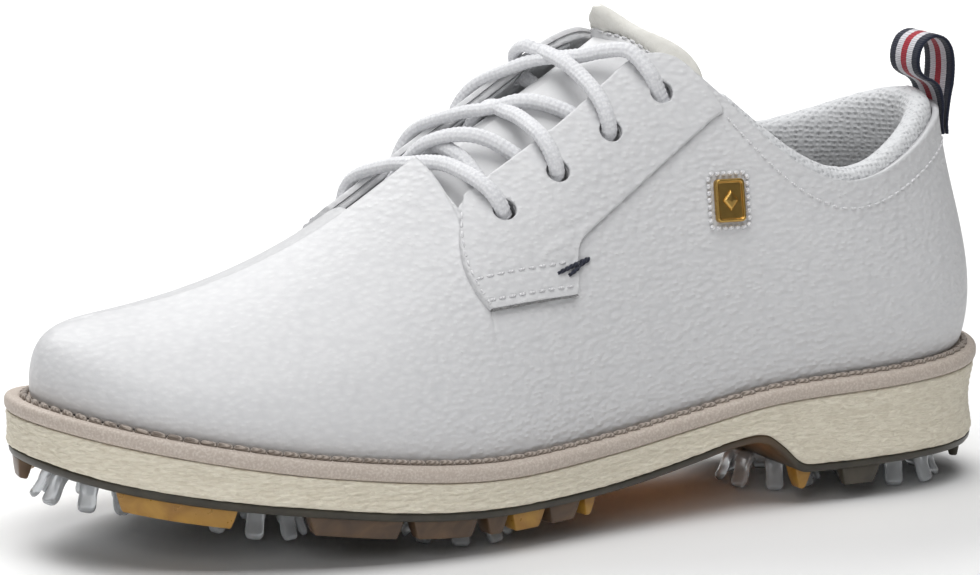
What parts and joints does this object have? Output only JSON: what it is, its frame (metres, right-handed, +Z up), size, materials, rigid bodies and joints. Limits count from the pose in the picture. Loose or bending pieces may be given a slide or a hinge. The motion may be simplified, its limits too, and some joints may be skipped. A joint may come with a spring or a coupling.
{
  "type": "golf shoe",
  "caption": "Left golf shoe with a white leather upper, laced eyestays over a tongue, padded collar, stitched welt, foam midsole and twist-in soft spikes under a lugged outsole.",
  "frame": {"origin": "on the ground under the middle of the shoe's box, between the spike tips", "axes": "+X to the toe, +Y to the lateral (outer) side, +Z up"},
  "size_m": [0.2697, 0.1004, 0.1274],
  "materials": {
    "outsole_tpu": "satin",
    "amber_tpu": "translucent",
    "brown_tpu": "translucent",
    "receptacle_plastic": "matte",
    "midsole_foam": "crepe texture",
    "welt_leather": "smooth",
    "natural_thread": "twisted",
    "fibre_board": "pressed fibre",
    "cork": "granular",
    "spring_steel": "brushed",
    "footbed_foam": "textile topped foam",
    "white_leather": "pebbled",
    "stiffener": "matte",
    "lining_fabric": "knit",
    "collar_foam": "open cell",
    "collar_mesh": "knit mesh",
    "white_thread": "twisted",
    "navy_thread": "twisted",
    "tongue_leather": "smooth",
    "ivory_fabric": "woven",
    "gold_metal": "polished",
    "lace_cord": "braided",
    "aglet_plastic": "clear",
    "ribbon": "grosgrain",
    "clear_tpu": "clear"
  },
  "bodies": {
    "shoe": {"outsole_plate": "outsole_tpu", "amber_lugs": "amber_tpu", "brown_lugs": "brown_tpu", "heel_lugs": "outsole_tpu", "spike_receptacles": "receptacle_plastic", "midsole": "midsole_foam", "welt": "welt_leather", "welt_thread": "natural_thread", "insole_board": "fibre_board", "sole_filler": "cork", "shank": "spring_steel", "footbed": "footbed_foam", "upper_shell": "white_leather", "toe_puff": "stiffener", "heel_counter": "stiffener", "vamp_lining": "lining_fabric", "quarter_lining_lateral": "lining_fabric", "quarter_lining_medial": "lining_fabric", "collar_foam": "collar_foam", "collar_lining": "collar_mesh", "collar_thread": "white_thread", "eyestay_lateral": "white_leather", "eyestay_medial": "white_leather", "eyestay_thread_lateral": "white_thread", "eyestay_thread_medial": "white_thread", "bartack_lateral": "navy_thread", "bartack_medial": "navy_thread", "tongue": "tongue_leather", "tongue_foam": "collar_foam", "tongue_top_band": "ivory_fabric", "badge": "gold_metal", "badge_thread": "white_thread", "lace": "lace_cord", "aglets": "aglet_plastic"},
    "spike_1": {"spike_1": "clear_tpu"},
    "spike_2": {"spike_2": "clear_tpu"},
    "spike_3": {"spike_3": "clear_tpu"},
    "spike_4": {"spike_4": "clear_tpu"},
    "spike_5": {"spike_5": "clear_tpu"},
    "spike_6": {"spike_6": "clear_tpu"},
    "spike_7": {"spike_7": "clear_tpu"},
    "spike_8": {"spike_8": "clear_tpu"},
    "pull_tab": {"pull_tab": "ribbon"}
  },
  "joints": [
    {"name": "spike_1_twist", "type": "hinge", "parent": "shoe", "child": "spike_1", "pos_m": [-0.10637, 0.01239, 0.00997], "axis": [0, 0, -1], "range_deg": [0, 60]},
    {"name": "spike_2_twist", "type": "hinge", "parent": "shoe", "child": "spike_2", "pos_m": [-0.09902, -0.01859, 0.00997], "axis": [0, 0, -1], "range_deg": [0, 60]},
    {"name": "spike_3_twist", "type": "hinge", "parent": "shoe", "child": "spike_3", "pos_m": [-0.07487, 0.00451, 0.00997], "axis": [0, 0, -1], "range_deg": [0, 60]},
    {"name": "spike_4_twist", "type": "hinge", "parent": "shoe", "child": "spike_4", "pos_m": [0.02698, 0.02394, 0.00997], "axis": [0, 0, -1], "range_deg": [0, 60]},
    {"name": "spike_5_twist", "type": "hinge", "parent": "shoe", "child": "spike_5", "pos_m": [0.05008, -0.02646, 0.00997], "axis": [0, 0, -1], "range_deg": [0, 60]},
    {"name": "spike_6_twist", "type": "hinge", "parent": "shoe", "child": "spike_6", "pos_m": [0.07738, 0.01344, 0.01417], "axis": [0.124, 0, -0.9923], "range_deg": [0, 60]},
    {"name": "spike_7_twist", "type": "hinge", "parent": "shoe", "child": "spike_7", "pos_m": [0.08368, -0.02751, 0.01495], "axis": [0.1246, 0, -0.9922], "range_deg": [0, 60]},
    {"name": "spike_8_twist", "type": "hinge", "parent": "shoe", "child": "spike_8", "pos_m": [0.11099, -0.01071, 0.01879], "axis": [0.1651, 0, -0.9863], "range_deg": [0, 60]},
    {"name": "pull_tab_bend", "type": "hinge", "parent": "shoe", "child": "pull_tab", "pos_m": [-0.12789, -0.00126, 0.08873], "axis": [0, -1, 0], "range_deg": [0, 50], "stiffness_Nm_per_rad": 0.006}
  ]
}
